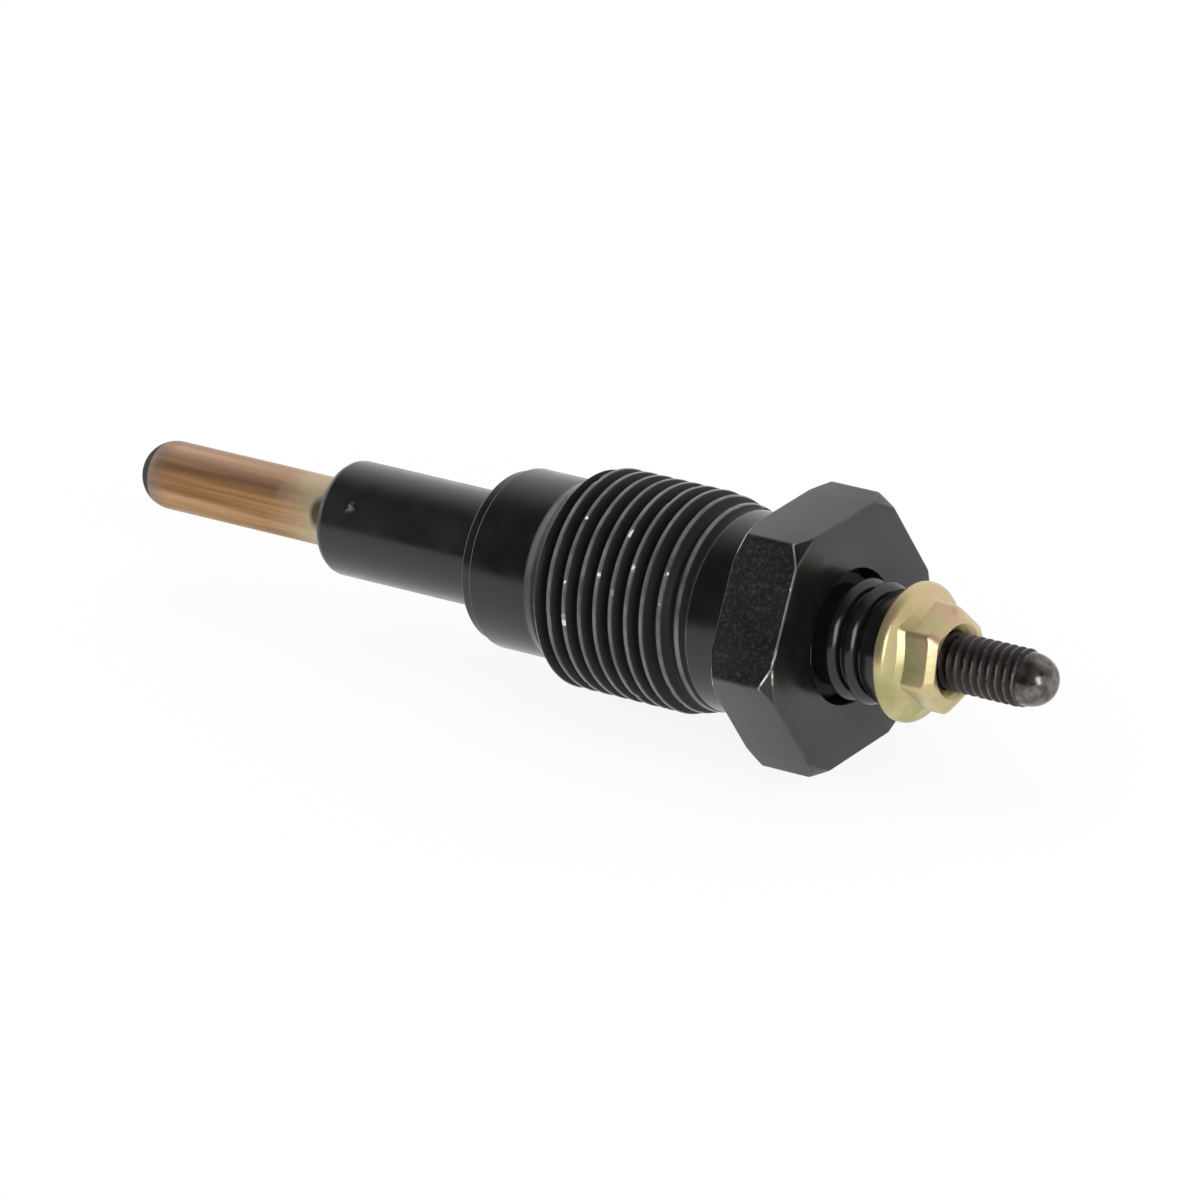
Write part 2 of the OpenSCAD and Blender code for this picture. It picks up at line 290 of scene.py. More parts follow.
# %% [markdown]
# ## Finish of the shell
# The shell is turned steel with a satin black finish. It shows as a dark skin with a
# soft sheen, a little blotchy. Thread crests and edges are rubbed to a grey line and
# in a few places chipped down to bright metal. One flat of the hexagon kept the rough
# scale of the rolled bar.

# %% Satin black steel
SCUFF = (-14.28, -3.96, 3.05)
# A dielectric film over steel: low reflection face on, brighter at a glancing angle.
black_steel, tree, shader, mm = new_finish("satin_black_on_turned_steel")
wear = put(tree, "ShaderNodeAttribute", attribute_name="wear").outputs["Fac"]
scale = put(tree, "ShaderNodeAttribute", attribute_name="scale").outputs["Fac"]
# Blotches about 2.5 mm wide in the film, and specks of about 0.3 mm in the scale
blotch = put(tree, NOISE, {"Vector": mm, "Scale": 0.4, "Detail": 4.0})
grain = put(tree, NOISE, {"Vector": mm, "Scale": 3.2, "Detail": 3.0, "Roughness": 0.6})
# Rubbed lines vary over about 2 mm, and chips are about 0.6 mm long
patchy = put(tree, NOISE, {"Vector": mm, "Scale": 0.5, "Detail": 3.0})
chipped = put(tree, NOISE, {"Vector": mm, "Scale": 1.3, "Detail": 2.0})
rub = put(tree, RANGE, {
    "Value": patchy, "From Min": 0.3, "From Max": 0.7, "To Min": 0.26, "To Max": 0.68})
# A tool left one scuff on the nose, on the side towards the viewer
to_scuff = put(tree, VECTOR, {0: mm, 1: SCUFF}, operation="DISTANCE")
ragged = put(tree, MATH, {0: grain, 1: 1.6, 2: to_scuff}, operation="MULTIPLY_ADD")
scuff = put(tree, RANGE, {"Value": ragged, "From Min": 1.25, "From Max": 0.85, "To Max": 0.5})
rubbed = put(tree, MATH, {0: wear, 1: rub, 2: scuff}, operation="MULTIPLY_ADD", use_clamp=True)
# The more an edge is worn, the more of it is chipped
chance = put(tree, MATH, {0: wear, 1: 0.12, 2: chipped}, operation="MULTIPLY_ADD")
chip = put(tree, RANGE, {"Value": chance, "From Min": 0.83, "From Max": 0.85})
speck = put(tree, RANGE, {"Value": grain, "From Min": 0.5, "From Max": 0.75, "To Max": 0.5})
flecked = put(tree, MATH, {0: speck, 1: scale}, operation="MULTIPLY")
print("marks on", black_steel.name, "are placed")

# %% [markdown]
# The film's colour comes first. Flecks of scale, rubbed lines and bare chips lie over
# it in this order, and the scale is rougher than the film.

# %% Colour and gloss of the shell
colour = put(tree, MIX, {
    "Factor": blotch, "A": linear("#0f0f10"), "B": linear("#19191a")}, data_type="RGBA")
for share, code in ((flecked, "#4a4846"), (rubbed, "#858583"), (chip, "#dad8d2")):
    colour = put(tree, MIX, {"Factor": share, "A": colour, "B": linear(code)}, data_type="RGBA")
satin = put(tree, RANGE, {
    "Value": blotch, "From Min": 0.3, "From Max": 0.7, "To Min": 0.19, "To Max": 0.27})
coarse = put(tree, MATH, {0: scale, 1: 0.16, 2: satin}, operation="MULTIPLY_ADD")
height = put(tree, MATH, {0: grain, 1: scale}, operation="MULTIPLY")
bump = put(tree, "ShaderNodeBump", {"Strength": 0.35, "Distance": 0.0001, "Height": height})
feed(shader, {"Base Color": colour, "Roughness": coarse, "Normal": bump})
print("made", black_steel.name)

# %% [markdown]
# Oil and dust settle between the crests, and the same dark finish paints the shade
# that falls in the grooves and in the recess. That needs a finish of its own, because
# how strongly a surface mirrors is one number per finish.

# %% Black grime and painted shade in the grooves
# Soot in old oil, which also paints the shade in grooves and the recess: matt and close to black,
# with hardly any mirror image.
groove_soot_and_shade, tree, shader, mm = new_finish("oily_soot_and_painted_shade")
dust = put(tree, NOISE, {"Vector": mm, "Scale": 1.5, "Detail": 4.0})
soot_and_shade_tone = put(tree, MIX, {
    "Factor": dust, "A": linear("#0a0a0a"), "B": linear("#1c1b1b")}, data_type="RGBA")
cake = put(tree, RANGE, {"Value": dust, "To Min": 0.45, "To Max": 0.7})
feed(shader, {"Base Color": soot_and_shade_tone, "Specular IOR Level": 0.3, "Roughness": cake})
print("made", groove_soot_and_shade.name)

# %% [markdown]
# ## The helical thread
# A thread is one ridge that winds round a cylinder: after a full turn it has moved on
# by its pitch. A Screw modifier can sweep a ridge, but its ends stay open and it can't
# run out into a cone. So a Geometry Nodes tree bends a flat grid: across the grid
# goes the angle, up the grid the place along the ridge. Each point gets its radius
# from its distance to the nearest crest. Rows past the thread's ends are pressed
# onto the end rings, and Merge by Distance closes what falls together. The engine
# thread and the terminal thread are two settings of the same tree.

# %% Thread tree
SIZES = ["Start", "End", "Pitch", "Phase", "Crest radius", "Root radius", "Crest half", "Root half",
         "Front radius", "Front slope", "Rear radius", "Rear slope", "Run out", "Run out slope",
         "Nick depth", "Nick size"]
thread = bpy.data.node_groups.new("helical_thread", "GeometryNodeTree")
for size in SIZES:
    thread.interface.new_socket(name=size, in_out="INPUT", socket_type="NodeSocketFloat")
for count in ("Turns", "Rows", "Columns", "Nick seed"):
    thread.interface.new_socket(name=count, in_out="INPUT", socket_type="NodeSocketInt")
thread.interface.new_socket(name="Finish", in_out="INPUT", socket_type="NodeSocketMaterial")
thread.interface.new_socket(name="Thread", in_out="OUTPUT", socket_type="NodeSocketGeometry")
given = put(thread, "NodeGroupInput").outputs
grid = put(thread, "GeometryNodeMeshGrid", {
    "Size X": 1.0, "Size Y": 1.0, "Vertices X": given["Columns"], "Vertices Y": given["Rows"]})
flat = put(thread, "ShaderNodeSeparateXYZ", {0: put(thread, "GeometryNodeInputPosition")})
share = put(thread, MATH, {0: flat.outputs["X"], 1: 0.5}, operation="ADD")
level = put(thread, MATH, {0: flat.outputs["Y"], 1: 0.5}, operation="ADD")
ridge = put(thread, MATH, {0: level, 1: given["Turns"]}, operation="MULTIPLY")
print("thread tree takes", len(SIZES), "sizes")

# %% [markdown]
# The angle uses the same crowding as the columns of the other pieces, so that the
# thread's end rings meet the rest of the shell point by point.

# %% Angle and place of each grid point
turn = put(thread, MATH, {0: share, 1: 2 * math.pi}, operation="MULTIPLY")
sixth = put(thread, MATH, {0: turn, 1: 6.0}, operation="MULTIPLY")
wave = put(thread, MATH, {0: sixth}, operation="SINE")
shift = put(thread, MATH, {0: wave, 1: CROWDING / 6}, operation="MULTIPLY")
angle = put(thread, MATH, {0: turn, 1: shift}, operation="SUBTRACT")
part = put(thread, MATH, {0: angle, 1: 2 * math.pi}, operation="DIVIDE")
wound = put(thread, MATH, {0: ridge, 1: part}, operation="ADD")
back = put(thread, MATH, {0: wound, 1: 1.0}, operation="SUBTRACT")
place = put(thread, MATH, {0: back, 1: given["Pitch"], 2: given["Start"]}, operation="MULTIPLY_ADD")
x = put(thread, "ShaderNodeClamp", {"Value": place, "Min": given["Start"], "Max": given["End"]})
cosine = put(thread, MATH, {0: angle}, operation="COSINE")
sine = put(thread, MATH, {0: angle}, operation="SINE")
print("place and angle follow from the grid")

# %% [markdown]
# A ridge falls from its crest to its root over a flank. Half of a straight flank and
# half of a soft step give a straight side with rounded shoulders, as a rolled or
# painted thread has. At the rear the ridge gets lower along a flat cone while the
# groove rises to the collar, and at the front the lead-in cone cuts it off.

# %% Radius of each grid point
phased = put(thread, MATH, {0: ridge, 1: given["Phase"]}, operation="ADD")
inside = put(thread, MATH, {0: phased}, operation="FRACT")
centred = put(thread, MATH, {0: inside, 1: 0.5}, operation="SUBTRACT")
away = put(thread, MATH, {0: centred}, operation="ABSOLUTE")
flank = {"Value": away, "From Min": given["Crest half"], "From Max": given["Root half"],
         "To Min": 1.0, "To Max": 0.0}
straight = put(thread, RANGE, flank)
soft = put(thread, RANGE, flank, interpolation_type="SMOOTHSTEP")
both = put(thread, MATH, {0: straight, 1: soft}, operation="ADD")
height = put(thread, MATH, {0: both, 1: 0.5}, operation="MULTIPLY")
to_end = put(thread, MATH, {0: given["End"], 1: x}, operation="SUBTRACT")
step = put(thread, MATH, {
    0: to_end, 1: given["Rear slope"], 2: given["Rear radius"]}, operation="MULTIPLY_ADD")
limit = put(thread, MATH, {0: step, 1: given["Crest radius"]}, operation="MINIMUM")
tall = put(thread, MATH, {0: limit, 1: given["Root radius"]}, operation="SUBTRACT")
plain = put(thread, MATH, {0: height, 1: tall, 2: given["Root radius"]}, operation="MULTIPLY_ADD")
from_start = put(thread, MATH, {0: x, 1: given["Start"]}, operation="SUBTRACT")
cone = put(thread, MATH, {
    0: from_start, 1: given["Front slope"], 2: given["Front radius"]}, operation="MULTIPLY_ADD")
under_cone = put(thread, MATH, {0: plain, 1: cone}, operation="MINIMUM")
short = put(thread, MATH, {0: to_end, 1: given["Run out"]}, operation="SUBTRACT")
before_run = put(thread, MATH, {0: short, 1: 0.0}, operation="MAXIMUM")
fall = put(thread, MATH, {0: before_run, 1: given["Run out slope"]}, operation="MULTIPLY")
rise = put(thread, MATH, {0: given["Rear radius"], 1: fall}, operation="SUBTRACT")
whole = put(thread, MATH, {0: under_cone, 1: rise}, operation="MAXIMUM")
print("radius follows from the distance to the crest")

# %% [markdown]
# Handling leaves small nicks in the crests. Noise with a fixed seed picks a few
# places, and only there the crest is pushed in. The wear attribute runs from -1 in
# the groove to 1 on the crest, and is 0 on the cone and at the thread's end, so that
# the finishes can show grime and painted shade below and rubbed metal above.

# %% Nicks, wear and the finished thread
CREST_SHARE, WEAR_END = 0.77, 0.15 * MM
# The noise sees the thread as a ring of this radius in millimetres
NICK_RING = 9.0
ring_spot = put(thread, "ShaderNodeCombineXYZ", {"X": x, "Y": cosine, "Z": sine})
around = put(thread, VECTOR, {0: ring_spot, 1: (1 / MM, NICK_RING, NICK_RING)}, operation="MULTIPLY")
chance = put(thread, NOISE, {
    "Vector": around, "W": given["Nick seed"], "Scale": given["Nick size"], "Detail": 2.0},
    noise_dimensions="4D")
# Only the noise's few high places make a nick
nick = put(thread, RANGE, {
    "Value": chance, "From Min": 0.6, "From Max": 0.75, "To Max": given["Nick depth"]})
on_crest = put(thread, MATH, {0: height, 1: 3.0}, operation="POWER")
dent = put(thread, MATH, {0: nick, 1: on_crest}, operation="MULTIPLY")
radius = put(thread, MATH, {0: whole, 1: dent}, operation="SUBTRACT")
# Below 0 the grooves take the grime finish, which also paints the shade between the crests
signed = put(thread, RANGE, {
    "Value": height, "From Min": CREST_SHARE, "From Max": 1.0, "To Min": -1.0, "To Max": 1.0})
uncut = put(thread, MATH, {0: plain, 1: cone}, operation="LESS_THAN")
before_end = put(thread, RANGE, {"Value": to_end, "From Max": WEAR_END})
free = put(thread, MATH, {0: uncut, 1: before_end}, operation="MULTIPLY")
worn = put(thread, MATH, {0: signed, 1: free}, operation="MULTIPLY")
y = put(thread, MATH, {0: radius, 1: cosine}, operation="MULTIPLY")
z = put(thread, MATH, {0: radius, 1: sine}, operation="MULTIPLY")
spot = put(thread, "ShaderNodeCombineXYZ", {"X": x, "Y": y, "Z": z})
marked = put(thread, "GeometryNodeStoreNamedAttribute", {
    "Geometry": grid, "Name": "wear", "Value": worn})
bent = put(thread, "GeometryNodeSetPosition", {"Geometry": marked, "Position": spot})
merged = put(thread, "GeometryNodeMergeByDistance", {"Geometry": bent, "Distance": MERGE})
real = put(thread, "GeometryNodeRealizeInstances", {"Geometry": merged})
dressed = put(thread, "GeometryNodeSetMaterial", {"Geometry": real, "Material": given["Finish"]})
put(thread, "NodeGroupOutput", {"Thread": dressed})
print("thread tree has", len(thread.nodes), "nodes")

# %% [markdown]
# The tree works as a modifier on an empty mesh. Only the points, faces and wear that
# come out are kept, so that a thread can be joined to the rest of its piece.

# %% Use the thread tree


def thread_lists(sizes, finish):
    """Points, faces and wear of a thread made by the tree with these inputs."""
    blank = bpy.data.objects.new("thread_blank", bpy.data.meshes.new("thread_blank"))
    scene.collection.objects.link(blank)
    turned = blank.modifiers.new("helical_thread", "NODES")
    turned.node_group = thread
    for item in thread.interface.items_tree:
        if item.in_out == "INPUT":
            turned[item.identifier] = finish if item.name == "Finish" else sizes[item.name]
    seen = blank.evaluated_get(bpy.context.evaluated_depsgraph_get())
    mesh = bpy.data.meshes.new_from_object(seen)
    points = [tuple(v.co) for v in mesh.vertices]
    faces = [tuple(p.vertices) for p in mesh.polygons]
    wear = [w.value for w in mesh.attributes["wear"].data]
    blank.modifiers.remove(turned)
    bpy.data.objects.remove(blank)
    start, end = sizes["Start"] / MM, sizes["End"] / MM
    print(f"thread with {len(faces)} faces from {start:.2f} to {end:.2f} mm")
    return points, faces, wear


# %% [markdown]
# ## The engine thread on the shell
# The crests stand 1.5875 mm apart, sixteen to the inch. The lead-in cone at the front
# lets the plug find its hole. The last crests sink towards the collar, where the die
# was opened, and the last groove runs out there.

# %% Engine thread
pilot_r, pilot_end = 7.75, 7.3
thread_crest, thread_root, thread_pitch = 9.45, 8.5, 1.5875
lead_len, lead_foot = 2.1, 0.858
lead_slope = (thread_crest - pilot_r) / lead_len
lead_start, lead_r = pilot_end + lead_foot, pilot_r + lead_foot * lead_slope
collar_r, collar_start = 8.55, 24.16
THREAD_ROWS, THREAD_TURNS = 16, 12
engine_thread = thread_lists({
    "Start": lead_start * MM, "End": collar_start * MM, "Pitch": thread_pitch * MM,
    "Phase": 6 / THREAD_ROWS, "Crest radius": thread_crest * MM, "Root radius": thread_root * MM,
    "Crest half": 1.5 / THREAD_ROWS, "Root half": 7 / THREAD_ROWS,
    "Front radius": lead_r * MM, "Front slope": lead_slope,
    "Rear radius": collar_r * MM, "Rear slope": 0.25, "Run out": 0.1 * MM, "Run out slope": 0.9,
    "Nick depth": 0.12 * MM, "Nick size": 0.7,
    "Turns": THREAD_TURNS, "Rows": THREAD_TURNS * THREAD_ROWS + 1, "Columns": COLUMNS + 1,
    "Nick seed": 3}, black_steel)

# %% [markdown]
# ## The shell
# One chain runs from the thread's rear end round the hexagon, into the recess and
# the bore, out at the nose and back to the thread's front end. Only the hexagon's
# points change with the angle: a chamfer cone cuts off what stands out beyond its rim
# at the corners, and the flats between keep straight edges that are only broken a little.

# %% Chain of the shell
hex_start = 28.66
hex_round, hex_edge = 0.3, 0.1
corner_r = hex_flat / math.cos(math.pi / 6)
hex_rim, hex_slope = corner_r - 1.1, math.tan(math.radians(35))
face_rim, face_slope = corner_r - 0.9, math.tan(math.radians(45))
recess_r, recess_floor = 5.75, hex_face - 2.2
PRESS_FIT, SLIDING_FIT = 0.01, 0.06
core_r, grip_r, grip_end = 3.6, sheath_r + PRESS_FIT, -5.9
nose_r, nose_round = 5.0, 1.0
seat_r, seat_rim, bevel_end = 7.35, 0.9, 1.15
band_front, band_rear = 0.42, 0.33
rough_flat, half_flat = math.radians(150), math.radians(31)
# Wear of the rough flat's knocked edge, and of the other edges
KNOCKED_WEAR, EDGE_WEAR = 1.7, 0.4
# From this distance to the axis on, the hexagon's corners are worn more
corner_from = 11.2
# Half the width of the rubbed ring behind the thread
ring_half = 0.08


def shell_chain(angle):
    """Chain of the shell from the thread's rear end to its front end."""
    side = hexagon_radius(angle, hex_flat, hex_round)
    rim, face = min(hex_rim, side - hex_edge), min(face_rim, side - hex_edge)
    at_corner = min(1.0, max(0.0, side - corner_from))
    rear_wear = 0.1 + 0.9 * at_corner
    knocked = KNOCKED_WEAR if abs(angle - rough_flat) < half_flat else EDGE_WEAR
    return rounded([
        (collar_start, collar_r, 0, 0.0),
        (collar_start + ring_half, collar_r, 0, 0.6),
        (collar_start + 2 * ring_half, collar_r, 0, 0.0),
        (hex_start, collar_r, 0.3, 0.1),
        (hex_start, rim, 0.1, rear_wear),
        (hex_start + max(hex_edge, (side - rim) * hex_slope), side, 0.15, rear_wear),
        (hex_face - max(hex_edge, (side - face) * face_slope), side, 0.3, knocked + 0.3 * at_corner),
        (hex_face, face, 0.3, EDGE_WEAR),
        (hex_face, recess_r, 0.15, 0.2),
        # The recess walls take the grime finish, which paints the shade inside the recess
        (hex_face - 0.3, recess_r, 0, -1.0),
        (recess_floor, recess_r, 0, -1.0),
        (recess_floor, core_r, 0, -1.0),
        (grip_end, core_r, 0, 0.0),
        (grip_end, grip_r, 0, 0.0),
        (nose_face, grip_r, 0.15, 0.3),
        (nose_face, nose_r, nose_round, 0.1),
        (0.0, nose_r, 0.2, 0.0),
        (0.0, seat_r, 0.15, 0.5),
        (seat_rim, seat_r, 0.1, 0.0),
        (bevel_end, pilot_r, 0.15, 0.4),
        (pilot_end - band_front, pilot_r, 1.0, 0.0),
        (pilot_end + band_rear, pilot_r + band_rear * lead_slope, 1.0, 0.0),
        (lead_start, lead_r, 0, 0.0)])


shell = finished_piece("shell_dressed", joined(
    engine_thread, columns_to_lists(shell_chain, COLUMNS)), black_steel, groove_soot_and_shade)

# %% [markdown]
# Knocks took the film off in a few places on the crests and the hexagon's corners.
# Near each of them the points that are worn already become bare metal.

# %% Chips in the film
BARE, LEAST_WEAR = 3.0, 0.08
# Place along the plug in mm, angle round it in degrees, and reach in mm
CHIPS = [(12.4, 177, 0.55), (17.3, 157, 0.35), (15.5, 150, 0.25), (18.6, 143, 0.25), (16.9, 125, 0.3),
         (29.0, 121, 1.2), (28.8, 181, 0.9), (29.3, 193, 0.8), (34.6, 176, 0.7), (34.8, 167, 0.35)]
wear_marks = shell.data.attributes["wear"].data
chipped_points = 0
for vertex, mark in zip(shell.data.vertices, wear_marks):
    x, y, z = (c / MM for c in vertex.co)
    r, angle = math.hypot(y, z), math.atan2(z, y)
    for place, degrees, reach in CHIPS:
        off = math.remainder(angle - math.radians(degrees), 2 * math.pi)
        if mark.value > LEAST_WEAR and math.hypot(x - place, r * off) < reach:
            mark.value = BARE
            chipped_points += 1
print("points laid bare:", chipped_points)

# %% [markdown]
# The rough flat is the one that faces the left side of the view. A second attribute
# marks its points, and the finish turns them into scale.

# %% Mark the rough flat
# How far in mm a point may be from the hexagon's rear, its face and its flat
off_rear, off_face, off_flat = 0.01, 0.05, 0.06
scale_marks = shell.data.attributes.new("scale", "FLOAT", "POINT")
marked_points = 0
for vertex, mark in zip(shell.data.vertices, scale_marks.data):
    x, y, z = (c / MM for c in vertex.co)
    out = y * math.cos(rough_flat) + z * math.sin(rough_flat)
    if hex_start - off_rear < x < hex_face - off_face and out > hex_flat - off_flat:
        mark.value = 1.0
        marked_points += 1
print("points on the rough flat:", marked_points)

# %% [markdown]
# ## Heater sheath
# The sheath is a thin tube of heat-resisting steel with a closed round tip. It was
# drawn through a die, which leaves faint lines along it, and its first glow tinted
# it: straw near the nose, bronze and brown where it got hotter, grey at the tip.

# %% Heat-tinted steel
# Angle round the sheath of the painted dark band
DARK_BAND_ANGLE = math.radians(126)
# Spot of the painted shadow that the nose casts on the sheath's root
NOSE_SHADOW = (2 * (nose_face - 1.2), -2.76, 1.17)
# Steel under an oxide film that tints what it mirrors; the lines run along the tube.
tinted_steel, tree, shader, mm = new_finish("heat_tinted_drawn_steel")
place = put(tree, "ShaderNodeSeparateXYZ", {0: mm}).outputs
along, high = place["X"], place["Z"]
# Drawing lines about 0.8 mm wide and 40 mm long
drawn = put(tree, VECTOR, {0: mm, 1: (0.03, 1.0, 1.0)}, operation="MULTIPLY")
lines = put(tree, NOISE, {"Vector": drawn, "Scale": 0.9, "Detail": 4.0, "Roughness": 0.6})
# Painted dark reflection: a darker band runs along the upper side that the viewer sees, where the
# sheath mirrors the dim room above
toward_dark_band = put(tree, VECTOR, {
    0: mm, 1: (0.0, math.cos(DARK_BAND_ANGLE) / sheath_r, math.sin(DARK_BAND_ANGLE) / sheath_r)}, operation="DOT_PRODUCT")
stain_and_painted_band = put(tree, RANGE, {"Value": toward_dark_band, "From Min": 0.88, "From Max": 1.0, "To Max": 0.15})
lines_and_painted_band = put(tree, MATH, {0: lines, 1: stain_and_painted_band}, operation="SUBTRACT")
bands = put(tree, "ShaderNodeValToRGB", {0: lines_and_painted_band})
ramp_colours(bands, [(0.32, "#79553a"), (0.45, "#976e42"), (0.55, "#b08453"), (0.68, "#b8926d")])
# Painted highlight: the top side is lighter and pinker, where the sheath mirrors the bright room
painted_top_sheen = put(tree, RANGE, {
    "Value": high, "From Min": 0.72 * sheath_r, "From Max": 0.98 * sheath_r, "To Max": 0.5})
warm = put(tree, NOISE, {"Vector": mm, "Scale": 0.35, "Detail": 2.0})
edge_shift = put(tree, MATH, {0: warm, 1: 4.0, 2: along}, operation="MULTIPLY_ADD")
straw_share = put(tree, RANGE, {
    "Value": edge_shift, "From Min": nose_face - 4.2, "From Max": nose_face + 1.6, "To Max": 0.85})
grey_share = put(tree, RANGE, {
    "Value": along, "From Min": sheath_tip + 4.2, "From Max": sheath_tip + 2.2, "To Max": 0.75})
burnt_share = put(tree, RANGE, {
    "Value": along, "From Min": sheath_tip + 2.15, "From Max": sheath_tip + 1.8})
# Painted shadow: one dark mark at the root of the sheath, on the side towards the viewer, where the
# nose shades it from the key lamp
drawn_out = put(tree, VECTOR, {0: mm, 1: (2.0, 1.0, 1.0)}, operation="MULTIPLY")
to_nose_shadow = put(tree, VECTOR, {0: drawn_out, 1: NOSE_SHADOW}, operation="DISTANCE")
nose_shadow_share = put(tree, RANGE, {"Value": to_nose_shadow, "From Min": 1.7, "From Max": 0.8, "To Max": 0.85})
print("tints of", tinted_steel.name, "are placed")

# %% [markdown]
# The tints, a painted highlight on the top side and a painted shadow by the nose are
# laid over the drawing lines one after the other. The burnt tip has lost its metallic
# shine and is rougher than the tube.

# %% Colour and gloss of the sheath
colour = bands
# Tints, the painted top highlight and the painted shadow by the nose, in this order
for share, code in ((painted_top_sheen, "#c6a48d"), (straw_share, "#cdbf9f"), (grey_share, "#7f7269"),
                    (burnt_share, "#2f2f33"), (nose_shadow_share, "#2b1f15")):
    colour = put(tree, MIX, {"Factor": share, "A": colour, "B": linear(code)}, data_type="RGBA")
bare = put(tree, RANGE, {"Value": burnt_share, "To Min": 0.4, "To Max": 0.0})
polish = put(tree, RANGE, {
    "Value": lines, "From Min": 0.3, "From Max": 0.7, "To Min": 0.55, "To Max": 0.42})
scaled = put(tree, MATH, {0: burnt_share, 1: 0.35, 2: polish}, operation="MULTIPLY_ADD")
bump = put(tree, "ShaderNodeBump", {"Strength": 0.15, "Distance": 0.0001, "Height": lines})
feed(shader, {"Base Color": colour, "Metallic": bare, "Roughness": scaled, "Normal": bump})
print("made", tinted_steel.name)

# %% Sheath with its round tip
SHEATH_COLUMNS, TIP_STEPS = 96, 20
sheath_wall = 0.6
fill_r = sheath_r - sheath_wall
tip_centre = sheath_tip + sheath_r


def tip_arc(r, from_axis):
    """Quarter circle from the axis to the tube's wall, or back, for a closed round end."""
    steps = range(TIP_STEPS + 1) if from_axis else range(TIP_STEPS, -1, -1)
    turns = [math.pi / 2 * k / TIP_STEPS for k in steps]
    return [(tip_centre - r * math.cos(t), r * math.sin(t), 0.0) for t in turns]


def sheath_chain(angle):
    """Chain of the sheath from the tip outside to the tip inside."""
    end = [(sheath_end, sheath_r, 0.0), (sheath_end, fill_r, 0.0)]
    return tip_arc(sheath_r, True) + end + tip_arc(fill_r, False)


sheath = finished_piece("heater_sheath_dressed", columns_to_lists(
    sheath_chain, SHEATH_COLUMNS), tinted_steel)

# %% [markdown]
# ## Insulating bush
# The bush keeps the live terminal away from the shell. It is moulded from black
# phenolic resin, and its ribs lengthen the way that a creeping current would have to
# take. The mould's rounded ribs give long thin highlights.

# %% Black phenolic
# Moulded resin: black through and through, glossy, with a faint flow pattern.
phenolic, tree, shader, mm = new_finish("moulded_black_phenolic")
flow = put(tree, NOISE, {"Vector": mm, "Scale": 0.8, "Detail": 3.0})
tone = put(tree, MIX, {
    "Factor": flow, "A": linear("#101011"), "B": linear("#1c1c1c")}, data_type="RGBA")
gloss = put(tree, RANGE, {"Value": flow, "To Min": 0.12, "To Max": 0.22})
feed(shader, {"Base Color": tone, "Roughness": gloss})
print("made", phenolic.name)

# %% Bush with its ribs
BUSH_COLUMNS, RIB_STEPS = 144, 8
rib_r, groove_r, rest_r, spigot_r = 5.15, 4.25, 4.85, core_r - SLIDING_FIT
hole_r = stud_r + SLIDING_FIT
rib_starts, rib_land, rib_curve = [hex_face + 0.95, hex_face + 2.75], 0.15, 0.65
# 1 would make the rib's shoulder a quarter circle, and more flattens its middle
rib_bulge = 1.4
rest_start, rest_lean, foot_end = hex_face + 4.05, 0.05, recess_floor + 0.9


def bush_chain(angle):
    """Closed chain of the bush from its spigot over the ribs to the nut's seat and back."""
    corners = [
        (spigot_end, spigot_r, 0.0, 0), (recess_floor, spigot_r, 0, 0), (recess_floor, rib_r, 0, 0),
        # The foot's face down in the recess takes the grime finish, which paints the shade there
        (foot_end, rib_r, 0, -1), (foot_end, groove_r, 0, -1)]
    for start in rib_starts:
        corners += [(start, groove_r, 0.1, 0), (start, rib_r, 0.1, 0)]
        for k in range(RIB_STEPS + 1):
            t = math.pi / 2 * k / RIB_STEPS
            across, down = math.sin(t) ** rib_bulge, 1 - max(0.0, math.cos(t)) ** rib_bulge
            corners.append((start + rib_land + rib_curve * across, rib_r - rib_curve * down, 0, 0))
        corners.append((start + rib_land + rib_curve, groove_r, 0.1, 0))
    corners += [
        (rest_start, groove_r, 0.12, 0), (rest_start + rest_lean, rest_r, 0.2, 0),
        (bush_face, rest_r, 0.12, 0), (bush_face, hole_r, 0, 0), (spigot_end, hole_r, 0, 0)]
    return rounded(corners)


bush = finished_piece("insulating_bush_dressed", columns_to_lists(
    bush_chain, BUSH_COLUMNS, closed=True), phenolic, groove_soot_and_shade)

# %% [markdown]
# ## Flange nut
# The nut is zinc plated and yellow passivated. The thin film on the zinc shimmers
# between straw, pink and green. Its flange is a flat cone that the hexagon's sides
# run into, and a narrow facet below and above each flat catches the light.

# %% Yellow zinc
# Metal under a thin clear film: gold on the whole, with soft pink and green clouds.
yellow_zinc, tree, shader, mm = new_finish("yellow_passivated_zinc")
# Clouds about 3 mm wide
cloud = put(tree, NOISE, {"Vector": mm, "Scale": 0.33, "Detail": 2.5, "Roughness": 0.5})
# Painted sheen: the film is redder towards the top, where its colour shifts with the angle of view,
# and redder towards the outer end
place = put(tree, "ShaderNodeSeparateXYZ", {0: mm}).outputs
top_film_sheen = put(tree, RANGE, {"Value": place["Z"], "From Max": flange_r, "To Max": 0.17})
outward = put(tree, RANGE, {
    "Value": place["X"], "From Min": bush_face, "From Max": nut_face, "To Max": 0.12})
redder_with_sheen = put(tree, MATH, {0: top_film_sheen, 1: outward}, operation="ADD")
mild = put(tree, RANGE, {"Value": cloud, "To Min": 0.17, "To Max": 0.69})
film_and_sheen = put(tree, MATH, {0: mild, 1: redder_with_sheen}, operation="ADD")
hue = put(tree, "ShaderNodeValToRGB", {0: film_and_sheen})
ramp_colours(hue, [
    (0.4, "#a5a26e"), (0.49, "#bbb083"), (0.58, "#c9b888"), (0.66, "#cfb092"), (0.76, "#9d7d54")])
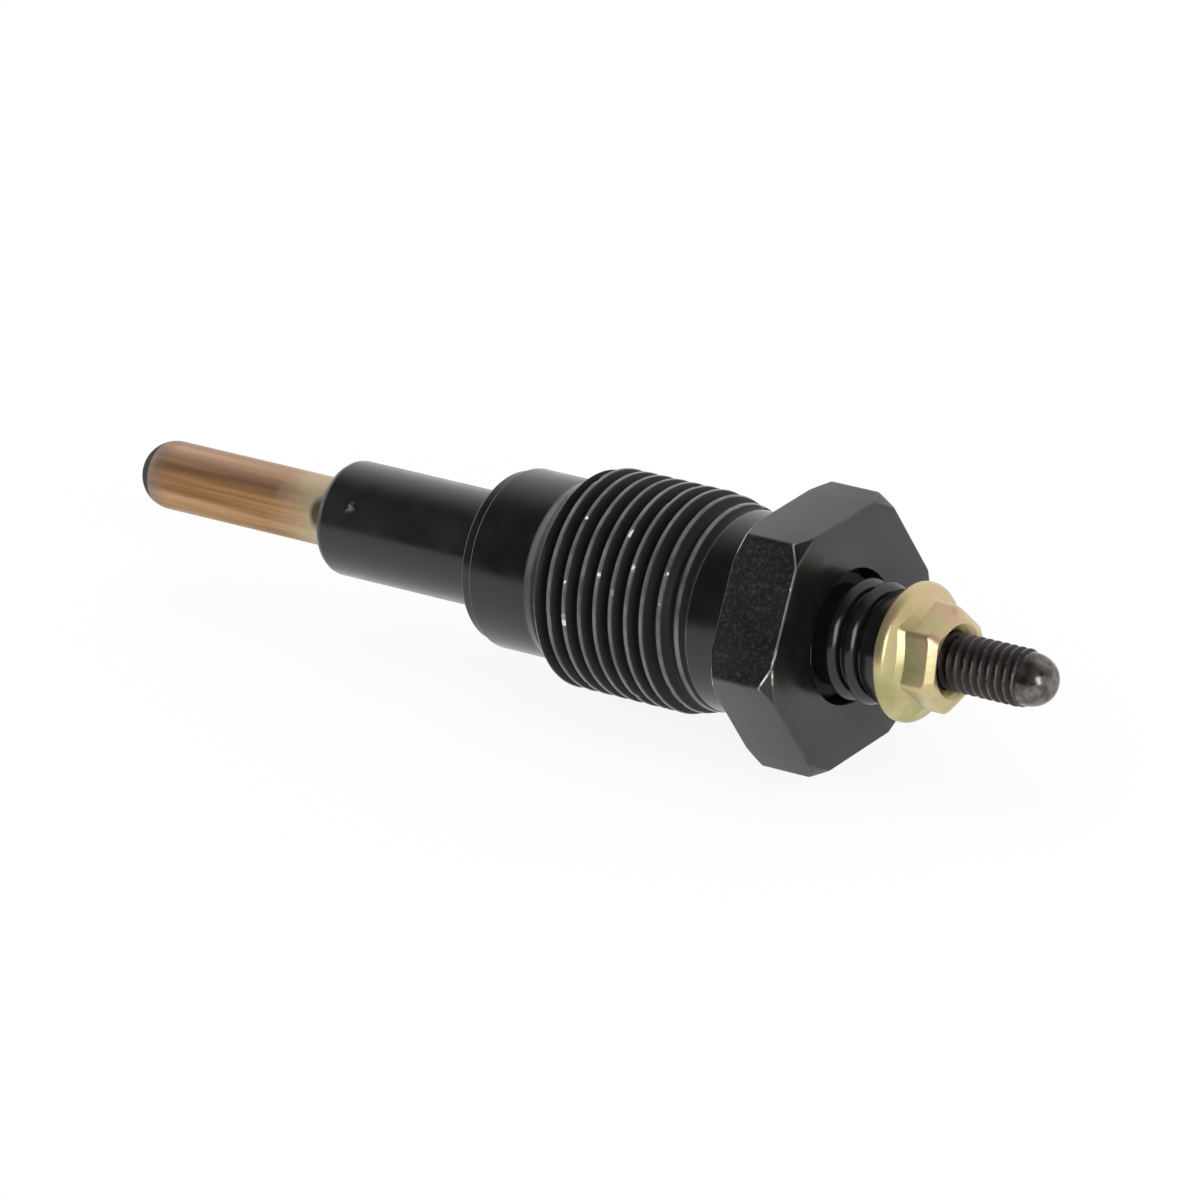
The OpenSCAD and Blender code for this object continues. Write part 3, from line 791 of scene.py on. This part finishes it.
matt = put(tree, NOISE, {"Vector": mm, "Scale": 3.0, "Detail": 3.0})
dull = put(tree, RANGE, {"Value": matt, "To Min": 0.22, "To Max": 0.38})
bump = put(tree, "ShaderNodeBump", {"Strength": 0.1, "Distance": 0.0001, "Height": matt})
feed(shader, {"Base Color": hue, "Metallic": 0.75, "Roughness": dull, "Normal": bump})
print("made", yellow_zinc.name)

# %% Nut
NUT_COLUMNS = 144
nut_turn = math.radians(13)
nut_flat, nut_round, top_round = 4.0, 0.5, 1.0
nut_relief, nut_slope = 0.7, math.radians(40)
flange_rim, flange_slope = 0.9, math.radians(24)
foot_high, foot_slope = 0.55, math.radians(43)
nut_bore, nut_sink = stud_r + SLIDING_FIT, 0.69


def nut_chain(angle):
    """Closed chain of the nut: seat, flange, hexagon, countersink and bore."""
    side = hexagon_radius(angle - nut_turn, nut_flat, nut_round)
    top = hexagon_radius(angle - nut_turn, nut_flat - nut_relief, top_round)
    foot = side + foot_high
    cone_end = bush_face + flange_rim + (flange_r - foot) * math.tan(flange_slope)
    drop = (side - top) * math.tan(nut_slope)
    return rounded([
        (bush_face, nut_bore, 0, 0),
        (bush_face, flange_r, 0.3, 0),
        (bush_face + flange_rim, flange_r, 0.7, 0),
        (cone_end, foot, 0.2, 0),
        (cone_end + foot_high * math.tan(foot_slope), side, 0.2, 0),
        (nut_face - drop, side, 0.3, 0),
        (nut_face, top, 0.12, 0),
        (nut_face, nut_bore + nut_sink, 0.08, 0),
        (nut_face - nut_sink, nut_bore, 0.05, 0),
        (bush_face, nut_bore, 0, 0)])


nut = finished_piece("flange_nut_dressed", columns_to_lists(
    nut_chain, NUT_COLUMNS, turn=nut_turn, closed=True), yellow_zinc)

# %% [markdown]
# ## Centre rod and terminal stud
# One steel rod carries the current from the terminal to the heating coil. Its outer
# end is an M5 thread with a bullet-shaped point. Only the thread in front of the nut
# can be seen, so the helix starts inside the nut, and the plain rod goes on from there.

# %% Dark oxidised steel
# Oiled and oxidised steel: nearly black in the grooves, grey where fingers rub.
rod_steel, tree, shader, mm = new_finish("dark_oxidised_steel")
crest = put(tree, "ShaderNodeAttribute", attribute_name="wear").outputs["Fac"]
along = put(tree, "ShaderNodeSeparateXYZ", {0: mm}).outputs["X"]
# Spanners have mashed the crests beside the nut, so they shine less
sound = put(tree, RANGE, {
    "Value": along, "From Min": nut_face + 1.5, "From Max": nut_face + 5.0, "To Min": 0.35})
wear = put(tree, MATH, {0: crest, 1: sound}, operation="MULTIPLY")
stain_and_painted_band = put(tree, NOISE, {"Vector": mm, "Scale": 1.1, "Detail": 4.0, "Roughness": 0.6})
bare_share = put(tree, RANGE, {
    "Value": stain_and_painted_band, "From Min": 0.4, "From Max": 0.65, "To Min": 0.15, "To Max": 0.6})
bare = put(tree, MATH, {0: wear, 1: bare_share}, operation="MULTIPLY")
# Old oil and painted shade darken the stud where it leaves the nut
oil_and_shade_by_nut = put(tree, RANGE, {
    "Value": along, "From Min": nut_face + 0.9, "From Max": nut_face + 0.1, "To Max": 0.8})
colour = put(tree, MIX, {
    "Factor": stain_and_painted_band, "A": linear("#2b2827"), "B": linear("#4c4846")}, data_type="RGBA")
for share, code in ((bare, "#827d79"), (oil_and_shade_by_nut, "#1d130c")):
    colour = put(tree, MIX, {"Factor": share, "A": colour, "B": linear(code)}, data_type="RGBA")
rough = put(tree, RANGE, {"Value": stain_and_painted_band, "To Min": 0.25, "To Max": 0.5})
polished = put(tree, MATH, {0: wear, 1: -0.14, 2: rough}, operation="MULTIPLY_ADD")
bump = put(tree, "ShaderNodeBump", {"Strength": 0.35, "Distance": 0.0001, "Height": stain_and_painted_band})
feed(shader, {"Base Color": colour, "Metallic": 0.85, "Roughness": polished, "Normal": bump})
print("made", rod_steel.name)

# %% Rod with its thread
STUD_COLUMNS, STUD_ROWS, STUD_TURNS = 120, 12, 12
stud_pitch, stud_root, rod_r, rod_tip_r = 0.8, 2.12, 2.0, 1.25
stud_start, stud_shoulder = nut_face - 1.2, stud_tip - 2.3
shoulder_r, rod_step = stud_r - 0.2, sheath_end + 2.0
POINT_STEPS, POINT_WEAR, point_flat = 12, 1.4, 0.6
stud_thread = thread_lists({
    "Start": stud_start * MM, "End": stud_shoulder * MM, "Pitch": stud_pitch * MM, "Phase": 0.0,
    "Crest radius": stud_r * MM, "Root radius": stud_root * MM,
    "Crest half": 1 / STUD_ROWS, "Root half": 5 / STUD_ROWS,
    "Front radius": rod_r * MM, "Front slope": 1.0,
    "Rear radius": shoulder_r * MM, "Rear slope": 1.0, "Run out": 0.0, "Run out slope": 9.0,
    "Nick depth": 0.25 * MM, "Nick size": 1.0,
    "Turns": STUD_TURNS, "Rows": STUD_TURNS * STUD_ROWS + 1, "Columns": STUD_COLUMNS + 1,
    "Nick seed": 8}, rod_steel)


def point_chain(angle):
    """Bullet-shaped point from the thread's end to the axis."""
    chain = []
    for k in range(POINT_STEPS + 1):
        t = math.pi / 2 * k / POINT_STEPS
        r = point_flat + (shoulder_r - point_flat) * math.cos(t)
        chain.append((stud_shoulder + (stud_tip - stud_shoulder) * math.sin(t), r, POINT_WEAR))
    return chain + [(stud_tip, 0.0, POINT_WEAR)]


def rod_chain(angle):
    """Plain rod from the axis at its inner end to the thread's start."""
    return [(rod_tip, 0.0, 0.0), (rod_tip, rod_tip_r, 0.0), (rod_step, rod_tip_r, 0.0),
            (rod_step, rod_r, 0.0), (stud_start, rod_r, 0.0)]


rod = finished_piece("centre_rod_dressed", joined(
    stud_thread, columns_to_lists(point_chain, STUD_COLUMNS),
    columns_to_lists(rod_chain, STUD_COLUMNS)), rod_steel)

# %% [markdown]
# ## Pieces that stay as they are
# Powder, coil, seal and rubber ring are hidden inside. Their solids have the right
# shape already, so each keeps its mesh and only gets a finish.

# %% Packed magnesia
# Pressed white powder: chalky, with grains that are drawn coarser than the real ones.
magnesia, tree, shader, mm = new_finish("packed_magnesia_powder")
grains = put(tree, NOISE, {"Vector": mm, "Scale": 4.0, "Detail": 3.0})
chalk = put(tree, MIX, {
    "Factor": grains, "A": linear("#cfc9bb"), "B": linear("#f0ece2")}, data_type="RGBA")
bump = put(tree, "ShaderNodeBump", {"Strength": 0.4, "Distance": 0.0001, "Height": grains})
feed(shader, {"Base Color": chalk, "Roughness": 0.9, "Normal": bump})
print("made", magnesia.name)

# %% Resistance wire
# Drawn iron-chromium wire: bright grey metal with a slightly uneven polish.
wire, tree, shader, mm = new_finish("drawn_resistance_wire")
polish = put(tree, NOISE, {"Vector": mm, "Scale": 3.0, "Detail": 2.0})
silver = put(tree, MIX, {
    "Factor": polish, "A": linear("#7d7f83"), "B": linear("#a3a5a8")}, data_type="RGBA")
sheen = put(tree, RANGE, {"Value": polish, "To Min": 0.25, "To Max": 0.45})
feed(shader, {"Base Color": silver, "Metallic": 1.0, "Roughness": sheen})
print("made", wire.name)

# %% Two rubbers
# Moulded rubber: dull, with a faint bloom that lightens it in patches.
rubbers = {}
for name, dark, light in (("red_silicone_rubber", "#6e2a20", "#8f3b2d"),
                          ("black_nitrile_rubber", "#141414", "#232323")):
    rubber, tree, shader, mm = new_finish(name)
    bloom = put(tree, NOISE, {"Vector": mm, "Scale": 1.0, "Detail": 3.0})
    dull = put(tree, MIX, {"Factor": bloom, "A": linear(dark), "B": linear(light)}, data_type="RGBA")
    feed(shader, {"Base Color": dull, "Roughness": 0.7})
    rubbers[name] = rubber
    print("made", name)

# %% Give the hidden solids their finishes
for name, finish in (("magnesia_fill", magnesia), ("heating_coil", wire),
                     ("sheath_seal", rubbers["red_silicone_rubber"]),
                     ("rubber_ring", rubbers["black_nitrile_rubber"])):
    nodes[name].data.materials.clear()
    nodes[name].data.materials.append(finish)
    print(name, "shows", finish.name)

# %% [markdown]
# ## Tie the pieces to the frame
# Each dressed piece stands for one solid, which is hidden, and all of them belong to
# the one body of a plug that has no joints.

# %% Ride and replace
for piece, node, slot in ((shell, "shell", "black_steel"), (sheath, "heater_sheath", "tinted_steel"),
                          (bush, "insulating_bush", "phenolic"), (nut, "flange_nut", "yellow_zinc"),
                          (rod, "centre_rod", "rod_steel")):
    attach(piece, "root")
    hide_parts(node)
    print(piece.name, "stands for", node)

# %% [markdown]
# ## Table, light and room
# The plug lies on a white table under one large soft lamp, and a tall narrow key lamp
# to the right of the camera puts a light on edges and ribs. Black metal shows mostly
# what it mirrors, so the room matters: white behind the plug and at both ends, and
# dark on the viewer's side, which keeps the middle of the shell black. The table
# glows for the camera and in mirror images, as paper lit from below does, so that
# the shadow stays soft.

# %% Floor
FLOOR_SIZE, GLOW_SHARE = 6.0, 0.9
bpy.ops.mesh.primitive_plane_add(size=FLOOR_SIZE, location=(0, 0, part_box("shell")[0].z))
floor = bpy.context.object
floor.name = "floor"
paper, tree, shader, mm = new_finish("white_table")
feed(shader, {"Base Color": linear("#f4f4f4"), "Roughness": 0.9})
path = put(tree, "ShaderNodeLightPath").outputs
mirrored = put(tree, MATH, {0: path["Is Camera Ray"], 1: path["Is Glossy Ray"]}, operation="MAXIMUM")
looked = put(tree, MATH, {0: mirrored, 1: path["Is Transmission Ray"]}, operation="MAXIMUM")
share = put(tree, MATH, {0: looked, 1: GLOW_SHARE}, operation="MULTIPLY")
glow = put(tree, "ShaderNodeEmission", {"Color": linear("#ffffff"), "Strength": 1.0})
lit = put(tree, "ShaderNodeMixShader", {0: share, 1: shader, 2: glow})
feed(tree.nodes["Material Output"], {"Surface": lit})
floor.data.materials.append(paper)
print("floor at", round(floor.location.z / MM, 2), "mm")

# %% Two lamps
# Place, width and height in metres, watts, and whether mirror images show the lamp
for name, place, wide, tall, watts, mirrored in (
        ("soft_lamp", (-0.1, 0.15, 0.95), 0.9, 0.9, 2.8, False),
        ("key_lamp", (1.03, -0.54, 0.28), 0.45, 0.8, 5.5, True)):
    lamp_data = bpy.data.lights.new(name, "AREA")
    lamp_data.shape = "RECTANGLE"
    lamp_data.size, lamp_data.size_y = wide, tall
    lamp_data.energy = watts
    lamp = bpy.data.objects.new(name, lamp_data)
    lamp.location = place
    lamp.rotation_euler = Vector(place).to_track_quat("Z", "Y").to_euler()
    lamp.visible_glossy = mirrored
    scene.collection.objects.link(lamp)
    print(name, watts, "W")

# %% Room as the mirror images see it
world = bpy.data.worlds.new("studio_room")
world.use_nodes = True
scene.world = world
tree = world.node_tree
tree.nodes.clear()
ray = put(tree, "ShaderNodeTexCoord").outputs["Generated"]
towards = put(tree, "ShaderNodeSeparateXYZ", {0: ray}).outputs
behind_plug = put(tree, RANGE, {
    "Value": towards["Y"], "From Min": -0.1, "From Max": 0.75, "To Min": 0.02},
    interpolation_type="SMOOTHSTEP")
tip_end = put(tree, RANGE, {
    "Value": towards["X"], "From Min": -0.72, "From Max": -0.92, "To Max": 1.6},
    interpolation_type="SMOOTHSTEP")
stud_end = put(tree, RANGE, {
    "Value": towards["X"], "From Min": 0.85, "From Max": 0.97}, interpolation_type="SMOOTHSTEP")
ends = put(tree, MATH, {0: tip_end, 1: stud_end}, operation="MAXIMUM")
bright = put(tree, MATH, {0: ends, 1: behind_plug}, operation="MAXIMUM")
path = put(tree, "ShaderNodeLightPath").outputs
dim = put(tree, "ShaderNodeBackground", {"Color": linear("#ffffff"), "Strength": 0.8})
white = put(tree, "ShaderNodeBackground", {"Color": linear("#ffffff"), "Strength": 1.0})
mirror = put(tree, "ShaderNodeBackground", {"Color": linear("#ffffff"), "Strength": bright})
clear = put(tree, MATH, {
    0: path["Is Camera Ray"], 1: path["Is Transmission Ray"]}, operation="MAXIMUM")
seen = put(tree, "ShaderNodeMixShader", {0: clear, 1: dim, 2: white})
room = put(tree, "ShaderNodeMixShader", {0: path["Is Glossy Ray"], 1: seen, 2: mirror})
put(tree, "ShaderNodeOutputWorld", {"Surface": room})
print("room is dark towards the viewer")

# %% [markdown]
# ## Camera
# The photograph was solved for its camera: a long lens, 0.73 m away, turned a little
# about its own axis. The three directions and the place are written as they came out.

# %% Camera
right = (0.79994, 0.59605, -0.06944)
up = (-0.19261, 0.36464, 0.91101)
behind = (0.56833, -0.71538, 0.40649)
stand = (0.423353, -0.521755, 0.294253)
camera_data = bpy.data.cameras.new("camera")
camera_data.sensor_width = 36.0
camera_data.lens = 260.58
camera = bpy.data.objects.new("camera", camera_data)
camera.matrix_world = Matrix([
    (right[k], up[k], behind[k], stand[k]) for k in range(3)] + [(0, 0, 0, 1)])
scene.collection.objects.link(camera)
scene.camera = camera
scene.view_settings.view_transform = "Standard"
print("camera at", [round(c, 3) for c in camera.matrix_world.translation])
